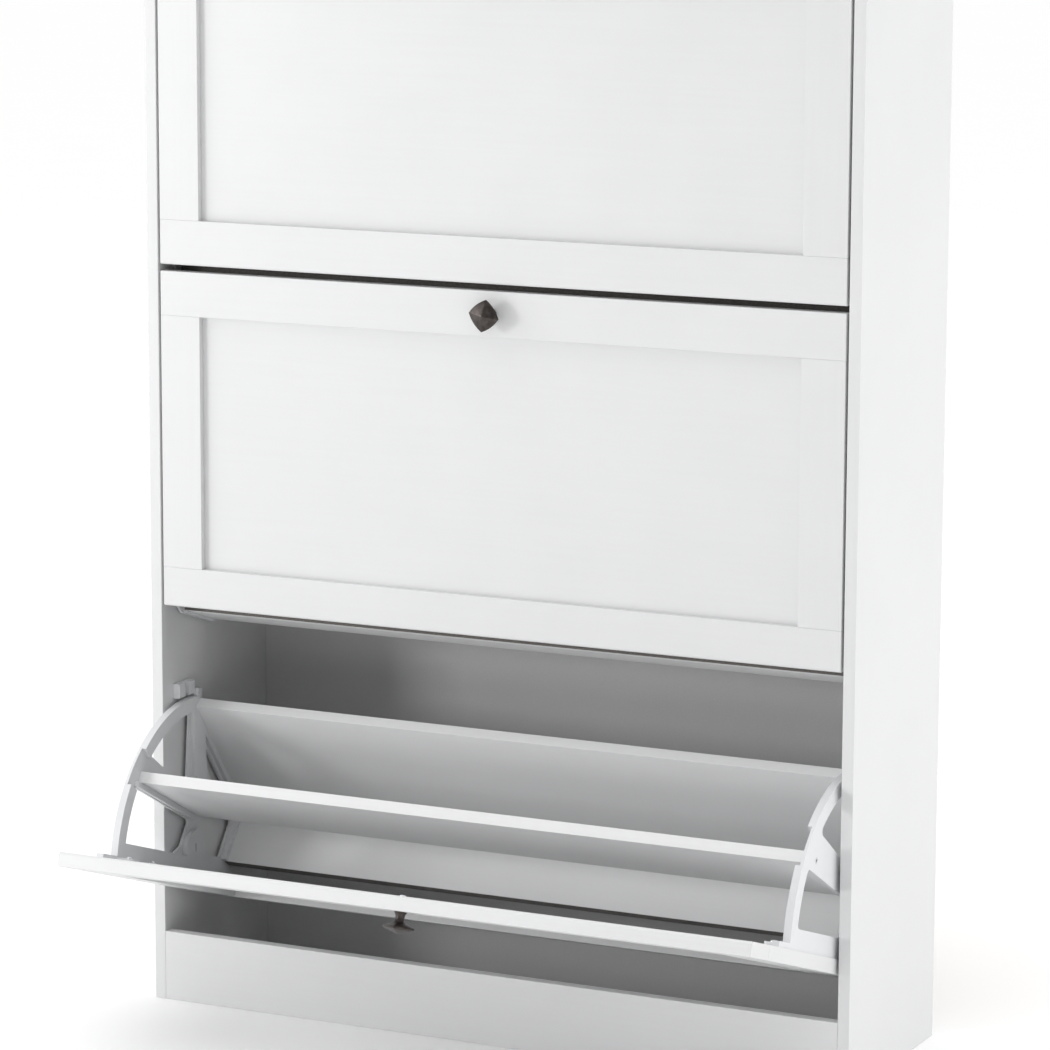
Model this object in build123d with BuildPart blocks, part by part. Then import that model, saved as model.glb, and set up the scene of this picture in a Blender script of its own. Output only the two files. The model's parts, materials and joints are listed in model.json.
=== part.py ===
"""Tip-out shoe cabinet with three flaps, each a framed door carrying a two-pocket shoe bin.

Frame: +X to the right, +Y to the back, +Z up.  The origin is the centre of the kick board's foot,
on the floor.  The lowest flap is modelled tipped open against its stops, the other two are shut.
"""
from build123d import *
from math import asin, cos, degrees, radians, sin
import os

# ---------------------------------------------------------------- driving dimensions, millimetres
CABINET_WIDTH = 800.0
CABINET_DEPTH = 240.0
SIDE_THICKNESS = 12.5
TOP_THICKNESS = 16.0
KICK_HEIGHT = 75.4
KICK_THICKNESS = 12.5
KICK_EASING = 1.0

# Flap fronts: framed doors, inset between the sides and flush with their front edges.
DOOR_THICKNESS = 15.0
DOOR_SIDE_GAP = 2.8
DOOR_GAP = 7.0
LOWER_DOOR_HEIGHT = 342.6
DOOR_HEIGHT = 356.5
TOP_RAIL_WIDTH = 46.6
STILE_WIDTH = 46.5
LOW_BOTTOM_RAIL_WIDTH = 42.0
UPPER_BOTTOM_RAIL_WIDTH = 47.0
PANEL_THICKNESS = 5.0
PANEL_RECESS = 7.0
GROOVE_DEPTH = 8.0
GROOVE_FIT = 0.05
TONGUE_LENGTH = 31.5
DOOR_BOTTOM_ROUND = 2.5
DOOR_TOP_CHAMFER = 2.0

# Pivots and travel.
PIVOT_SETBACK = 46.0
PIVOT_RISE = 76.0
OPEN_ANGLE = 71.6
PIN_RADIUS = 4.0
PIN_CLEARANCE = 0.06
BUSH_RADIUS = 6.0
BUSH_DEPTH = 9.5
BUSH_FLANGE_RADIUS = 9.0
BUSH_FLANGE_THICKNESS = 1.2

# Flip brackets: flat webs with raised bands on the bin side.
BRACKET_OUTER_X = 383.2
WEB_THICKNESS = 3.2
BAND_THICKNESS = 8.0
RIM_RADIUS = 166.0
RIM_WIDTH = 15.0
RIM_START_ANGLE = 13.0
RIM_GAP_ANGLES = (56.6, 72.0)
RIM_OVERLAP_ANGLE = 1.5
BASE_WIDTH = 20.0
HUB_RADIUS = 20.0
BOSS_RADIUS = 8.0
BOSS_HEIGHT = 2.7
HOOK_HEIGHT = 8.0
HOOK_ANGLE = 2.5
HEEL_TOP = 193.0
HEEL_THICKNESS = 6.0
WINDOW_LEDGE = 1.0
CHORD_ANGLE = 23.0
CHORD_POINT = (74.4, 20.4)
CHORD_SPAN = (-22.0, 78.0)
CHORD_WIDTH = 22.0
HINGE_SLOT_LENGTH = 9.5
HINGE_SLOT_WIDTH = 2.2
HINGE_SLOT_ANGLE = 18.0
LUG_HEIGHTS = (158.0, 108.0, -50.0)
LUG_WIDTH = 17.0
LUG_LENGTH = 20.0
LUG_THICKNESS = 5.0
LUG_SCREW_OFFSET = 2.0
LUG_ROOT = 4.0

# Bin boards, held between the two brackets.
BOARD_THICKNESS = 12.0
BOARD_FIT = 0.1
BIN_CORNER = (52.6, -96.0)
REAR_BOARD_ANGLE = 55.9
REAR_BOARD_SPAN = (1.5, 171.0)
FLOOR_BOARD_ANGLE = 161.2
FLOOR_BOARD_SPAN = (1.5, 64.0)
DIVIDER_START = (33.6, 4.2)
DIVIDER_ANGLE = 80.6
DIVIDER_SPAN = (0.0, 134.0)
FRONT_RIB = 6.0
BACK_RIB = 3.2

# Stops screwed to the side panels, in each pivot's own frame.
STOP_LOW, STOP_HIGH = 168.0, 184.0
STOP_FRONT, STOP_BACK = -24.5, 7.9
STOP_BASE_THICKNESS = 2.5
STOP_HEIGHT = 8.5
STOP_SLOT = (-11.5, -3.0)

# Back of the cabinet.
BACK_PANEL_THICKNESS = 4.0
BACK_PANEL_SETIN = 10.0
BACK_PANEL_GROOVE = 5.0
BACK_PANEL_BOTTOM = 4.0
REAR_RAIL_HEIGHT = 60.0
WALL_HOLE_RADIUS = 2.5
WALL_HOLE_SPACING = 640.0

# Hardware.
SCREW_RADIUS = 1.75
SCREW_HEAD_RADIUS = 3.4
SCREW_HEAD_HEIGHT = 1.9
SCREW_LENGTH = 12.0
BOARD_SCREW_LENGTH = 25.0
PILOT_FIT = 0.05
CAM_RADIUS = 6.0
CAM_DEPTH = 9.5
CAM_SETBACK = 24.0
CAM_FIT = 0.1
BOLT_RADIUS = 3.0
BOLT_ANCHOR = 8.0
DOWEL_RADIUS = 3.0
DOWEL_FIT = 0.05
DOWEL_ANCHOR = 8.0
DOWEL_REACH = 15.0
HOLE_SLACK = 0.5
LUG_HOLE_FIT = 0.2
KNOB_HOLE_RADIUS = 2.1
KNOB_SCREW_BITE = 5.0
KNOB_STEM_HEIGHT = 12.0
KNOB_HEIGHT = 22.0
KNOB_HALF_DIAGONAL = 17.0
KNOB_TURN = 9.0

# ---------------------------------------------------------------- worked out from those
FRONT = -KICK_THICKNESS / 2
BACK = FRONT + CABINET_DEPTH
OUTER_X = CABINET_WIDTH / 2
INNER_X = OUTER_X - SIDE_THICKNESS
TOP_UNDERSIDE = KICK_HEIGHT + LOWER_DOOR_HEIGHT + 2 * DOOR_HEIGHT + 4 * DOOR_GAP
PIVOT_Y = FRONT + PIVOT_SETBACK
DOOR_END_X = INNER_X - DOOR_SIDE_GAP
DOOR_FRONT = -PIVOT_SETBACK
DOOR_BACK = DOOR_FRONT + DOOR_THICKNESS
PANEL_FRONT = DOOR_FRONT + PANEL_RECESS
PANEL_BACK = PANEL_FRONT + PANEL_THICKNESS
STILE_INNER_X = DOOR_END_X - STILE_WIDTH
WEB_INNER_X = BRACKET_OUTER_X - WEB_THICKNESS
BAND_INNER_X = BRACKET_OUTER_X - BAND_THICKNESS
BASE_BACK = DOOR_BACK + BASE_WIDTH
RIM_INNER_RADIUS = RIM_RADIUS - RIM_WIDTH
HEEL_BACK = DOOR_BACK + HEEL_THICKNESS
WINDOW_ARC_RADIUS = RIM_INNER_RADIUS - WINDOW_LEDGE
RIM_END_ANGLE = 90 + degrees(asin(-HEEL_BACK / RIM_RADIUS))
TONGUE_REACH = GROOVE_DEPTH - HOLE_SLACK
BACK_PANEL_REAR = BACK - BACK_PANEL_SETIN
BACK_PANEL_FRONT = BACK_PANEL_REAR - BACK_PANEL_THICKNESS
RAIL_BOTTOMS = {
    "bottom_rear_rail": BACK_PANEL_BOTTOM,
    "lower_rear_rail": 395.0,
    "upper_rear_rail": 760.0,
    "top_rear_rail": TOP_UNDERSIDE - REAR_RAIL_HEIGHT,
}
WALL_HOLE_Z = RAIL_BOTTOMS["top_rear_rail"] + REAR_RAIL_HEIGHT / 2

LOWER_DOOR_BOTTOM = KICK_HEIGHT + DOOR_GAP
MIDDLE_DOOR_BOTTOM = LOWER_DOOR_BOTTOM + LOWER_DOOR_HEIGHT + DOOR_GAP
UPPER_DOOR_BOTTOM = MIDDLE_DOOR_BOTTOM + DOOR_HEIGHT + DOOR_GAP

# name: (door bottom, door height, bottom rail width, tilt at rest)
FLAPS = {
    "lower": (LOWER_DOOR_BOTTOM, LOWER_DOOR_HEIGHT, LOW_BOTTOM_RAIL_WIDTH, OPEN_ANGLE),
    "middle": (MIDDLE_DOOR_BOTTOM, DOOR_HEIGHT, LOW_BOTTOM_RAIL_WIDTH, 0.0),
    "upper": (UPPER_DOOR_BOTTOM, DOOR_HEIGHT, UPPER_BOTTOM_RAIL_WIDTH, 0.0),
}
PIVOT_HEIGHTS = [bottom + PIVOT_RISE for bottom, _, _, _ in FLAPS.values()]
SIDES = {"left": -1, "right": 1}

os.makedirs("parts", exist_ok=True)


def save(piece, name):
    """Label a finished piece and write its STEP file."""
    piece.part.label = name
    export_step(piece.part, f"parts/{name}.step")


# ---------------------------------------------------------------- planes and outlines


def section_plane(pivot_z, tilt=0.0):
    """Plane through a pivot, normal along +X; its x runs to the back and its y up the door."""
    turn = radians(tilt)
    return Plane(origin=(0, PIVOT_Y, pivot_z), x_dir=(0, cos(turn), sin(turn)), z_dir=(1, 0, 0))


def flap_plane(flap):
    """A flap's section plane, in the pose it rests in."""
    bottom, _, _, tilt = FLAPS[flap]
    return section_plane(bottom + PIVOT_RISE, tilt)


def facing_plane(section, depth):
    """Plane parallel to a door, normal out of its front, at a depth measured from the pivot."""
    return Plane(origin=section.origin + section.x_dir * depth, x_dir=(1, 0, 0), z_dir=-section.x_dir)


def turned(planes):
    """The same planes, facing the other way."""
    return [Plane(plane.origin, z_dir=-plane.z_dir) for plane in planes]


def beside(start, angle, along, across):
    """Point a distance along a direction and a distance to its right."""
    turn = radians(angle)
    x = start[0] + along * cos(turn) + across * sin(turn)
    y = start[1] + along * sin(turn) - across * cos(turn)
    return (x, y)


def strip(start, angle, span, near, far):
    """Corners of a straight strip that follows a direction, between two offsets to its right."""
    low, high = span
    return [
        beside(start, angle, low, near),
        beside(start, angle, high, near),
        beside(start, angle, high, far),
        beside(start, angle, low, far),
    ]


def on_circle(radius, angle):
    """Point on a circle about the pivot."""
    return (radius * cos(radians(angle)), radius * sin(radians(angle)))


def rectangle(x_low, x_high, y_low, y_high):
    """Corners of an upright rectangle."""
    return [(x_low, y_low), (x_high, y_low), (x_high, y_high), (x_low, y_high)]


def rear_strip(near, far, span=REAR_BOARD_SPAN):
    return strip(BIN_CORNER, REAR_BOARD_ANGLE, span, near, far)


def floor_strip(near, far, span=FLOOR_BOARD_SPAN):
    return strip(BIN_CORNER, FLOOR_BOARD_ANGLE, span, -near, -far)


def divider_strip(near, far, span=DIVIDER_SPAN):
    return strip(DIVIDER_START, DIVIDER_ANGLE, span, near, far)


REAR_SCREWS = [beside(BIN_CORNER, REAR_BOARD_ANGLE, s, BOARD_THICKNESS / 2) for s in (40.0, 146.0)]
FLOOR_SCREWS = [beside(BIN_CORNER, FLOOR_BOARD_ANGLE, s, -BOARD_THICKNESS / 2) for s in (32.0,)]
DIVIDER_SCREWS = [beside(DIVIDER_START, DIVIDER_ANGLE, s, BOARD_THICKNESS / 2) for s in (30.0, 122.0)]
BOARD_SCREWS = REAR_SCREWS + FLOOR_SCREWS + DIVIDER_SCREWS


def block(x_span, y_span, z_span, mode=Mode.ADD):
    """Add or cut a square-cornered board in the part being built."""
    with BuildSketch(Plane.XY.offset(z_span[0])) as face:
        with Locations(((x_span[0] + x_span[1]) / 2, (y_span[0] + y_span[1]) / 2)):
            Rectangle(x_span[1] - x_span[0], y_span[1] - y_span[0])
    extrude(face.sketch, amount=z_span[1] - z_span[0], mode=mode)


# ---------------------------------------------------------------- screws, dowels and cams


def make_screw(length, countersunk):
    """Cross-head screw standing on its point: the head's underside or rim is at the origin."""
    with BuildPart() as screw:
        with BuildSketch():
            Circle(SCREW_RADIUS)
        extrude(amount=-length)
        point = screw.faces().sort_by(Axis.Z)[0].edges()
        chamfer(point, length=SCREW_RADIUS * 0.6)
        if countersunk:
            with BuildSketch():
                Circle(SCREW_HEAD_RADIUS)
            with BuildSketch(Plane.XY.offset(-SCREW_HEAD_HEIGHT)):
                Circle(SCREW_RADIUS)
            loft()
        else:
            with BuildSketch():
                Circle(SCREW_HEAD_RADIUS)
            extrude(amount=SCREW_HEAD_HEIGHT)
            rim = screw.faces().sort_by(Axis.Z)[-1].edges()
            fillet(rim, radius=SCREW_HEAD_HEIGHT * 0.6)
        head_top = screw.faces().sort_by(Axis.Z)[-1].center().Z
        with BuildSketch(Plane.XY.offset(head_top)):
            Rectangle(SCREW_HEAD_RADIUS * 1.1, SCREW_HEAD_RADIUS * 0.25)
            Rectangle(SCREW_HEAD_RADIUS * 0.25, SCREW_HEAD_RADIUS * 1.1)
        extrude(amount=-SCREW_HEAD_HEIGHT * 0.6, mode=Mode.SUBTRACT)
    return screw.part


PAN_SCREW = make_screw(SCREW_LENGTH, countersunk=False)
KNOB_SCREW = make_screw(DOOR_THICKNESS + KNOB_SCREW_BITE, countersunk=False)
BOARD_SCREW = make_screw(BOARD_SCREW_LENGTH, countersunk=True)

TOP_JOINT_CAMS = (40.0, 200.0)
TOP_JOINT_DOWELS = (80.0, 160.0)
KICK_CAM_Z = 40.0
KICK_DOWELS_Z = (18.0, 62.0)
RAIL_DOWEL_INSET = 15.0


def dowel_planes(side):
    """Planes at one side panel's joints: origin in the joint, normal into the joined board."""
    planes = []
    edge_x = side * (OUTER_X - SIDE_THICKNESS / 2)
    for y in TOP_JOINT_DOWELS:
        planes.append(Plane(origin=(edge_x, FRONT + y, TOP_UNDERSIDE), z_dir=(0, 0, -1)))
    for z in KICK_DOWELS_Z:
        planes.append(Plane(origin=(side * INNER_X, 0, z), z_dir=(-side, 0, 0)))
    for bottom in RAIL_BOTTOMS.values():
        for z in (bottom + RAIL_DOWEL_INSET, bottom + REAR_RAIL_HEIGHT - RAIL_DOWEL_INSET):
            y = BACK - BACK_PANEL_SETIN / 2
            planes.append(Plane(origin=(side * INNER_X, y, z), z_dir=(-side, 0, 0)))
    return planes


def bolt_planes(side):
    """Planes at one side panel's cam joints: origin in the joint, normal towards the cam."""
    planes = []
    edge_x = side * (OUTER_X - SIDE_THICKNESS / 2)
    for y in TOP_JOINT_CAMS:
        planes.append(Plane(origin=(edge_x, FRONT + y, TOP_UNDERSIDE), z_dir=(0, 0, -1)))
    planes.append(Plane(origin=(side * INNER_X, 0, KICK_CAM_Z), z_dir=(-side, 0, 0)))
    return planes


def cam_planes(side):
    """Planes on the faces that the cams are sunk into, normal into the board."""
    planes = []
    for y in TOP_JOINT_CAMS:
        origin = (side * INNER_X, FRONT + y, TOP_UNDERSIDE - CAM_SETBACK)
        planes.append(Plane(origin=origin, x_dir=(0, 1, 0), z_dir=(side, 0, 0)))
    origin = (side * (INNER_X - CAM_SETBACK), FRONT + KICK_THICKNESS, KICK_CAM_Z)
    planes.append(Plane(origin=origin, x_dir=(1, 0, 0), z_dir=(0, -1, 0)))
    return planes


def drill(planes, radius, depth, back=0.0):
    """Cut round holes into the part being built, from a little behind each plane."""
    for plane in planes:
        with BuildSketch(plane.offset(-back)) as mouth:
            Circle(radius)
        extrude(mouth.sketch, amount=depth + back, mode=Mode.SUBTRACT)


def pins(planes, radius, depth, back=0.0):
    """Round pins, each from behind its plane to a depth in front of it."""
    with BuildPart() as group:
        for plane in planes:
            with BuildSketch(plane.offset(-back)):
                Circle(radius)
            extrude(amount=depth + back)
    return group


def placed(piece, places):
    """One node made of the same finished piece at one or more planes or locations."""
    with BuildPart() as group:
        for place in places:
            with Locations(Location(place)):
                add(piece)
    return group


ALL_DOWELS = dowel_planes(-1) + dowel_planes(1)
ALL_BOLTS = bolt_planes(-1) + bolt_planes(1)
ALL_CAMS = cam_planes(-1) + cam_planes(1)


def cut_joint_holes():
    """Dowel, bolt and cam holes of every carcass joint, cut from the board being built."""
    dowel_depth, dowel_back = DOWEL_REACH + HOLE_SLACK, DOWEL_ANCHOR + HOLE_SLACK
    drill(ALL_DOWELS, DOWEL_RADIUS + DOWEL_FIT, dowel_depth, back=dowel_back)
    drill(ALL_BOLTS, BOLT_RADIUS + DOWEL_FIT, CAM_SETBACK, back=BOLT_ANCHOR + HOLE_SLACK)
    drill(ALL_CAMS, CAM_RADIUS + CAM_FIT, CAM_DEPTH + HOLE_SLACK)


# ---------------------------------------------------------------- carcass


def stop_screw_plane(pivot_z, side):
    """Plane on a stop's base, at its screw, normal towards the middle of the cabinet."""
    y = PIVOT_Y + sum(STOP_SLOT) / 2
    z = pivot_z + (STOP_LOW + STOP_HIGH) / 2
    x = side * (INNER_X - STOP_BASE_THICKNESS)
    return Plane(origin=(x, y, z), z_dir=(-side, 0, 0))


def bush_planes(side):
    """Planes on one side panel's inner face at the pivots, normal into the panel."""
    return [Plane(origin=(side * INNER_X, PIVOT_Y, z), z_dir=(side, 0, 0)) for z in PIVOT_HEIGHTS]


def make_side_panel(side):
    """Full-height side, grooved for the back panel and bored for pivots, stops and joints."""
    x_span = sorted((side * INNER_X, side * OUTER_X))
    with BuildPart() as panel:
        block(x_span, (FRONT, BACK), (0, TOP_UNDERSIDE))
        groove_y = (BACK_PANEL_FRONT - GROOVE_FIT, BACK_PANEL_REAR + GROOVE_FIT)
        groove_x = sorted((side * INNER_X, side * (INNER_X + BACK_PANEL_GROOVE)))
        block(groove_x, groove_y, (0, TOP_UNDERSIDE), mode=Mode.SUBTRACT)
        drill(bush_planes(side), BUSH_RADIUS, BUSH_DEPTH)
        pilots = turned(stop_screw_plane(z, side) for z in PIVOT_HEIGHTS)
        drill(pilots, SCREW_RADIUS + PILOT_FIT, SCREW_LENGTH)
        cut_joint_holes()
    return panel


for name, side in SIDES.items():
    save(make_side_panel(side), f"{name}_side_panel")

with BuildPart() as top_board:
    block((-OUTER_X, OUTER_X), (FRONT, BACK), (TOP_UNDERSIDE, TOP_UNDERSIDE + TOP_THICKNESS))
    top_edges = top_board.faces().sort_by(Axis.Z)[-1].edges()
    chamfer(top_edges, length=KICK_EASING)
    cut_joint_holes()
save(top_board, "top_board")

with BuildPart() as kick_board:
    block((-INNER_X, INNER_X), (FRONT, FRONT + KICK_THICKNESS), (0, KICK_HEIGHT))
    upper_edges = kick_board.faces().sort_by(Axis.Z)[-1].edges().filter_by(Axis.X)
    chamfer(upper_edges.sort_by(Axis.Y)[-1], length=KICK_EASING)
    cut_joint_holes()
save(kick_board, "kick_board")


def drill_wall_holes():
    """The two wall-fixing holes, through whatever stands at the back of the part being built."""
    from_the_wall = Plane(origin=(0, BACK, WALL_HOLE_Z), x_dir=(1, 0, 0), z_dir=(0, -1, 0))
    with BuildSketch(from_the_wall) as holes:
        with GridLocations(WALL_HOLE_SPACING, 1, 2, 1):
            Circle(WALL_HOLE_RADIUS)
    extrude(holes.sketch, amount=BACK - BACK_PANEL_FRONT, mode=Mode.SUBTRACT)


with BuildPart() as back_panel:
    half_width = INNER_X + BACK_PANEL_GROOVE - HOLE_SLACK
    panel_y = (BACK_PANEL_FRONT, BACK_PANEL_REAR)
    block((-half_width, half_width), panel_y, (BACK_PANEL_BOTTOM, TOP_UNDERSIDE))
    drill_wall_holes()
save(back_panel, "back_panel")

for name, bottom in RAIL_BOTTOMS.items():
    with BuildPart() as rail:
        block((-INNER_X, INNER_X), (BACK_PANEL_REAR, BACK), (bottom, bottom + REAR_RAIL_HEIGHT))
        cut_joint_holes()
        if name == "top_rear_rail":
            drill_wall_holes()
    save(rail, name)

save(pins(ALL_DOWELS, DOWEL_RADIUS, DOWEL_REACH, back=DOWEL_ANCHOR), "joint_dowels")
save(pins(ALL_BOLTS, BOLT_RADIUS, CAM_SETBACK, back=BOLT_ANCHOR), "cam_bolts")

with BuildPart() as cam_locks:
    for plane in ALL_CAMS:
        with BuildSketch(plane):
            Circle(CAM_RADIUS)
            Rectangle(CAM_RADIUS * 1.2, CAM_RADIUS * 0.3, mode=Mode.SUBTRACT)
        extrude(amount=CAM_DEPTH)
    drill(ALL_BOLTS, BOLT_RADIUS + CAM_FIT, CAM_SETBACK + CAM_FIT)
save(cam_locks, "cam_locks")

with BuildPart() as pivot_bushes:
    for side in SIDES.values():
        for mouth in bush_planes(side):
            with BuildSketch(mouth):
                Circle(BUSH_RADIUS)
            extrude(amount=BUSH_DEPTH)
            with BuildSketch(mouth):
                Circle(BUSH_FLANGE_RADIUS)
            extrude(amount=-BUSH_FLANGE_THICKNESS)
            with BuildSketch(mouth.offset(-BUSH_FLANGE_THICKNESS)):
                Circle(PIN_RADIUS + PIN_CLEARANCE)
            extrude(amount=BUSH_DEPTH + BUSH_FLANGE_THICKNESS, mode=Mode.SUBTRACT)
save(pivot_bushes, "pivot_bushes")

with BuildPart() as stop_blocks:
    for side in SIDES.values():
        for z in PIVOT_HEIGHTS:
            footing = section_plane(z).offset(side * INNER_X)
            with BuildSketch(footing):
                with BuildLine():
                    Polyline(*rectangle(STOP_FRONT, STOP_BACK, STOP_LOW, STOP_HIGH), close=True)
                make_face()
            extrude(amount=-side * STOP_HEIGHT)
            with BuildSketch(footing.offset(-side * STOP_BASE_THICKNESS)):
                with BuildLine():
                    Polyline(*rectangle(*STOP_SLOT, STOP_LOW - 1, STOP_HIGH + 1), close=True)
                make_face()
            extrude(amount=-side * STOP_HEIGHT, mode=Mode.SUBTRACT)
    shoulders = stop_blocks.edges().filter_by(Axis.Y)
    inner_shoulders = [e for e in shoulders if abs(e.center().X) < INNER_X - STOP_HEIGHT + 0.1]
    chamfer(inner_shoulders, length=1.5)
    STOP_SCREWS = [stop_screw_plane(z, side) for side in SIDES.values() for z in PIVOT_HEIGHTS]
    drill(turned(STOP_SCREWS), SCREW_RADIUS + PILOT_FIT, STOP_BASE_THICKNESS)
save(stop_blocks, "stop_blocks")
save(placed(PAN_SCREW, STOP_SCREWS), "stop_block_screws")

# ---------------------------------------------------------------- flap doors


def lug_planes(section):
    """Planes on the tops of the bracket lugs, at their screws, normal out of the door's back."""
    top = facing_plane(section, DOOR_BACK + LUG_THICKNESS)
    planes = []
    for side in SIDES.values():
        for height in LUG_HEIGHTS:
            x = side * (BAND_INNER_X - LUG_LENGTH / 2 - LUG_SCREW_OFFSET)
            planes.append(Plane(top.from_local_coords(Vector(x, height, 0)), z_dir=-top.z_dir))
    return planes


def knob_plane(flap):
    """Plane on the door's face at the knob, normal out of the front, turned clockwise with the knob."""
    _, height, _, _ = FLAPS[flap]
    face = facing_plane(flap_plane(flap), DOOR_FRONT)
    origin = face.from_local_coords(Vector(0, height - PIVOT_RISE - TOP_RAIL_WIDTH / 2, 0))
    turn = radians(KNOB_TURN)
    return Plane(origin, x_dir=face.x_dir * cos(turn) - face.y_dir * sin(turn), z_dir=face.z_dir)


def cut_lug_pilots(section):
    """Pilot holes under the bracket lugs, cut from the door member being built."""
    drill(turned(lug_planes(section)), SCREW_RADIUS + PILOT_FIT, SCREW_LENGTH + PILOT_FIT)


def extrude_outline(plane, points, amount, mode=Mode.ADD):
    """Extrude one closed outline from a plane, in the part being built."""
    with BuildSketch(plane) as outline:
        with BuildLine():
            Polyline(*points, close=True)
        make_face()
    extrude(outline.sketch, amount=amount, mode=mode)


def make_rail(flap, is_top):
    """Full-width top or bottom rail, with a stopped groove for the panel and stile tongues."""
    _, height, bottom_rail, _ = FLAPS[flap]
    plane = flap_plane(flap)
    low, high = (-PIVOT_RISE, height - PIVOT_RISE)
    if is_top:
        y_span = (high - TOP_RAIL_WIDTH, high)
        groove_y = (y_span[0] - 1, y_span[0] + GROOVE_DEPTH)
    else:
        y_span = (low, low + bottom_rail)
        groove_y = (y_span[1] - GROOVE_DEPTH, y_span[1] + 1)
    groove_end = STILE_INNER_X + TONGUE_LENGTH + GROOVE_FIT
    with BuildPart() as rail:
        body = rectangle(DOOR_FRONT, DOOR_BACK, *y_span)
        extrude_outline(plane.offset(-DOOR_END_X), body, 2 * DOOR_END_X)
        long_edges = rail.edges().filter_by(Axis.X)
        depth_of = {e: plane.to_local_coords(e.center()) for e in long_edges}
        if is_top:
            corner = max(long_edges, key=lambda e: depth_of[e].X + depth_of[e].Y)
            chamfer(corner, length=DOOR_TOP_CHAMFER)
        else:
            corner = min(long_edges, key=lambda e: depth_of[e].X + depth_of[e].Y)
            fillet(corner, radius=DOOR_BOTTOM_ROUND)
        groove = rectangle(PANEL_FRONT - GROOVE_FIT, PANEL_BACK + GROOVE_FIT, *groove_y)
        extrude_outline(plane.offset(-groove_end), groove, 2 * groove_end, Mode.SUBTRACT)
        cut_lug_pilots(plane)
        if is_top:
            drill([knob_plane(flap)], KNOB_HOLE_RADIUS, 0, back=DOOR_THICKNESS)
    return rail


def make_stile(flap, side):
    """Upright frame member between the rails, with a tongue at each end and a panel groove."""
    _, height, bottom_rail, _ = FLAPS[flap]
    plane = flap_plane(flap)
    y_span = (bottom_rail - PIVOT_RISE, height - PIVOT_RISE - TOP_RAIL_WIDTH)
    with BuildPart() as stile:
        body = rectangle(DOOR_FRONT, DOOR_BACK, *y_span)
        inner = plane.offset(side * STILE_INNER_X)
        extrude_outline(inner, body, side * STILE_WIDTH)
        tongues = rectangle(PANEL_FRONT, PANEL_BACK, y_span[0] - TONGUE_REACH, y_span[1] + TONGUE_REACH)
        extrude_outline(inner, tongues, side * TONGUE_LENGTH)
        groove = rectangle(
            PANEL_FRONT - GROOVE_FIT,
            PANEL_BACK + GROOVE_FIT,
            y_span[0] - GROOVE_DEPTH,
            y_span[1] + GROOVE_DEPTH,
        )
        extrude_outline(inner, groove, side * GROOVE_DEPTH, Mode.SUBTRACT)
        cut_lug_pilots(plane)
    return stile


def make_panel(flap):
    """Thin centre panel, held in the grooves all round."""
    _, height, bottom_rail, _ = FLAPS[flap]
    half_width = STILE_INNER_X + TONGUE_REACH
    low = bottom_rail - PIVOT_RISE - TONGUE_REACH
    high = height - PIVOT_RISE - TOP_RAIL_WIDTH + TONGUE_REACH
    with BuildPart() as panel:
        outline = rectangle(PANEL_FRONT, PANEL_BACK, low, high)
        extrude_outline(flap_plane(flap).offset(-half_width), outline, 2 * half_width)
    return panel


def bulged_square(half_diagonal, bulge):
    """Square set on its corner, with softly bowed sides, drawn in the sketch being built."""
    corners = [(half_diagonal, 0), (0, half_diagonal), (-half_diagonal, 0), (0, -half_diagonal)]
    with BuildLine() as outline:
        for start, end in zip(corners, corners[1:] + corners[:1]):
            middle = ((start[0] + end[0]) * bulge, (start[1] + end[1]) * bulge)
            ThreePointArc(start, middle, end)
    make_face(outline.line)


def make_knob(flap):
    """Cast knob: a flared round stem under a four-sided pyramid head, turned a little clockwise."""
    base = knob_plane(flap)
    with BuildPart() as knob:
        for height, radius in ((0, 6.6), (3, 5.3), (8, 4.8), (KNOB_STEM_HEIGHT, 7.6)):
            with BuildSketch(base.offset(height)):
                Circle(radius)
        loft()
        for height, scale in ((KNOB_STEM_HEIGHT, 0.5), (15.2, 0.97), (16.4, 1.0), (KNOB_HEIGHT, 0.1)):
            with BuildSketch(base.offset(height)):
                bulged_square(KNOB_HALF_DIAGONAL * scale, bulge=0.56)
        loft(ruled=True)
        with BuildSketch(base):
            Circle(SCREW_RADIUS + PILOT_FIT)
        extrude(amount=8.0, mode=Mode.SUBTRACT)
    return knob


# ---------------------------------------------------------------- flip brackets


def web_outline():
    """Outer outline of the bracket: the base along the door, the bin's underside and the rim."""
    rim_start = on_circle(RIM_RADIUS, RIM_START_ANGLE)
    rim_middle = on_circle(RIM_RADIUS, (RIM_START_ANGLE + RIM_END_ANGLE) / 2)
    rim_end = on_circle(RIM_RADIUS, RIM_END_ANGLE)
    skin = BOARD_THICKNESS + BACK_RIB
    with BuildLine() as outline:
        Polyline(
            rim_end,
            (HEEL_BACK, HEEL_TOP),
            (DOOR_BACK, HEEL_TOP),
            (DOOR_BACK, 4 - PIVOT_RISE),
            beside(BIN_CORNER, FLOOR_BOARD_ANGLE, FLOOR_BOARD_SPAN[1] + 2, -skin),
            beside(BIN_CORNER, FLOOR_BOARD_ANGLE, 0, -skin),
            beside(BIN_CORNER, REAR_BOARD_ANGLE, 0, skin),
            rim_start,
        )
        ThreePointArc(rim_start, rim_middle, rim_end)
    make_face(outline.line)


def cut_window(corners, radius, arc_angles=None):
    """Cut one rounded window from the sketch being built; it may end in an arc under the rim."""
    with BuildSketch(mode=Mode.PRIVATE) as window:
        with BuildLine():
            if arc_angles:
                first, last = [on_circle(WINDOW_ARC_RADIUS, a) for a in arc_angles]
                middle = on_circle(WINDOW_ARC_RADIUS, sum(arc_angles) / 2)
                Polyline(last, *corners, first)
                ThreePointArc(first, middle, last)
            else:
                Polyline(*corners, close=True)
        make_face()
        fillet(window.vertices(), radius=radius)
    add(window.sketch, mode=Mode.SUBTRACT)




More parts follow.
